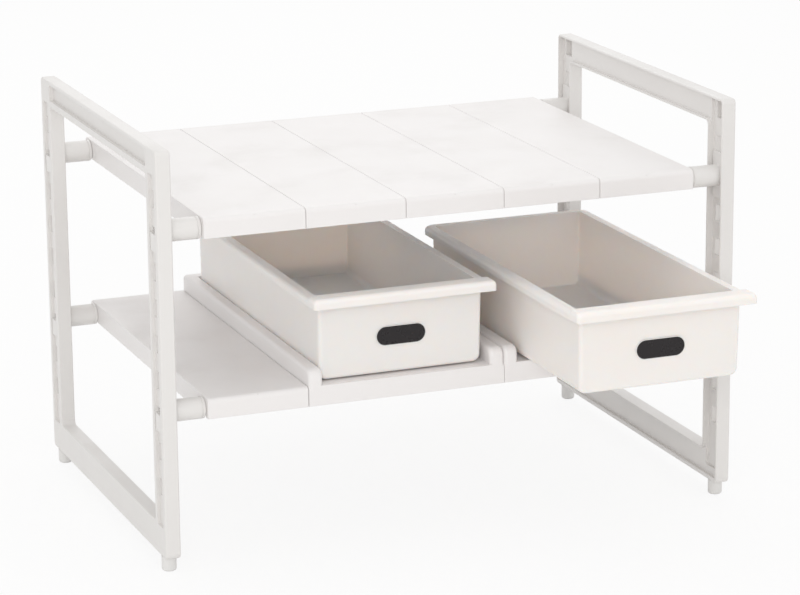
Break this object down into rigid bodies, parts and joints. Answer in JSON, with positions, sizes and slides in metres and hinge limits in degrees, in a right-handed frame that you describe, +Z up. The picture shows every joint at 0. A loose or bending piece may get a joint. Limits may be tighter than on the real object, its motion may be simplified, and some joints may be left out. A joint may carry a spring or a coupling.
{
  "type": "under sink organizer",
  "caption": "Stretching two-tier rack in white plastic: end frames joined by telescoping poles, slatted upper shelf, lower panel and two sliding drawers in trays.",
  "frame": {"origin": "on the floor under the middle of the whole footprint, with the right drawer pulled out as at rest", "axes": "+X along the rack's width to the right seen from the front, +Y from front to back, +Z up"},
  "size_m": [0.602, 0.542, 0.415],
  "materials": {
    "frame_plastic": "satin moulded",
    "joint_plastic": "satin moulded",
    "foot_plastic": "satin moulded",
    "panel_plastic": "fine moulded grain",
    "tray_plastic": "fine moulded grain",
    "drawer_plastic": "satin moulded",
    "pole_paint": "powder coat",
    "label_face": "printed film"
  },
  "bodies": {
    "left_side": {"end_frame_left": "frame_plastic", "foot_front_left": "foot_plastic", "foot_rear_left": "foot_plastic", "pole_joint_upper_front_left": "joint_plastic", "outer_pole_upper_front": "pole_paint", "pole_joint_upper_rear_left": "joint_plastic", "outer_pole_upper_rear": "pole_paint", "pole_joint_lower_front_left": "joint_plastic", "outer_pole_lower_front": "pole_paint", "pole_joint_lower_rear_left": "joint_plastic", "outer_pole_lower_rear": "pole_paint", "shelf_panel_1": "panel_plastic", "lower_panel": "panel_plastic"},
    "right_side": {"end_frame_right": "frame_plastic", "foot_front_right": "foot_plastic", "foot_rear_right": "foot_plastic", "pole_joint_upper_front_right": "joint_plastic", "inner_pole_upper_front": "pole_paint", "pole_joint_upper_rear_right": "joint_plastic", "inner_pole_upper_rear": "pole_paint", "pole_joint_lower_front_right": "joint_plastic", "inner_pole_lower_front": "pole_paint", "pole_joint_lower_rear_right": "joint_plastic", "inner_pole_lower_rear": "pole_paint"},
    "shelf_slat_2": {"shelf_panel_2": "panel_plastic"},
    "shelf_slat_3": {"shelf_panel_3": "panel_plastic"},
    "shelf_slat_4": {"shelf_panel_4": "panel_plastic"},
    "shelf_slat_5": {"shelf_panel_5": "panel_plastic"},
    "tray_left": {"drawer_tray_left": "tray_plastic"},
    "drawer_box_left": {"drawer_left": "drawer_plastic", "label_left": "label_face"},
    "tray_right": {"drawer_tray_right": "tray_plastic"},
    "drawer_box_right": {"drawer_right": "drawer_plastic", "label_right": "label_face"}
  },
  "joints": [
    {"name": "width", "type": "slide", "parent": "left_side", "child": "right_side", "axis": [1, 0, 0], "range_m": [0, 0.15]},
    {"name": "shelf_slat_2_spread", "type": "slide", "parent": "left_side", "child": "shelf_slat_2", "axis": [1, 0, 0], "range_m": [0, 0.0375]},
    {"name": "shelf_slat_3_spread", "type": "slide", "parent": "left_side", "child": "shelf_slat_3", "axis": [1, 0, 0], "range_m": [0, 0.075]},
    {"name": "shelf_slat_4_spread", "type": "slide", "parent": "left_side", "child": "shelf_slat_4", "axis": [1, 0, 0], "range_m": [0, 0.1125]},
    {"name": "shelf_slat_5_spread", "type": "slide", "parent": "left_side", "child": "shelf_slat_5", "axis": [1, 0, 0], "range_m": [0, 0.15]},
    {"name": "tray_left_spread", "type": "slide", "parent": "left_side", "child": "tray_left", "axis": [1, 0, 0], "range_m": [0, 0.075]},
    {"name": "tray_right_spread", "type": "slide", "parent": "left_side", "child": "tray_right", "axis": [1, 0, 0], "range_m": [0, 0.15]},
    {"name": "drawer_left_slide", "type": "slide", "parent": "tray_left", "child": "drawer_box_left", "axis": [0, -1, 0], "range_m": [0, 0.22]},
    {"name": "drawer_right_slide", "type": "slide", "parent": "tray_right", "child": "drawer_box_right", "axis": [0, -1, 0], "range_m": [-0.142, 0.078]}
  ],
  "couplings": [
    {"joint": "shelf_slat_2_spread", "follows": "width", "ratio": 0.25},
    {"joint": "shelf_slat_3_spread", "follows": "width", "ratio": 0.5},
    {"joint": "shelf_slat_4_spread", "follows": "width", "ratio": 0.75},
    {"joint": "shelf_slat_5_spread", "follows": "width", "ratio": 1},
    {"joint": "tray_left_spread", "follows": "width", "ratio": 0.5},
    {"joint": "tray_right_spread", "follows": "width", "ratio": 1}
  ]
}
